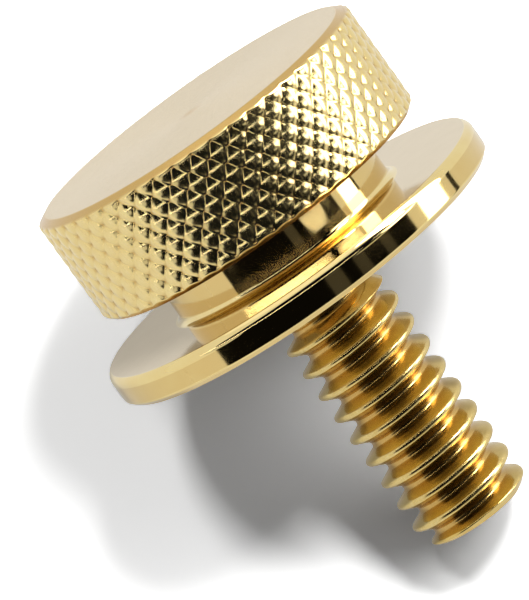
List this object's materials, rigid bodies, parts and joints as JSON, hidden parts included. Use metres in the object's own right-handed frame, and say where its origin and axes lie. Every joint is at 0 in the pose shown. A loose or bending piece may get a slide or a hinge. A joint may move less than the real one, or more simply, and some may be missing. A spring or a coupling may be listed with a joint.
{
  "type": "mounting knob",
  "caption": "Turned brass mounting knob with a diamond-knurled head, a plain neck, a wide flange and a right-hand threaded shank.",
  "frame": {"origin": "centre of the head's flat face, on the surface that the knob stands on", "axes": "+Z along the knob's axis, from the head's face towards the thread's tip; X and Y are alike"},
  "size_m": [0.017, 0.017, 0.0192],
  "materials": {
    "gold_plate": "polished gold plate"
  },
  "bodies": {
    "root": {"mounting_knob": "gold_plate"}
  },
  "joints": []
}
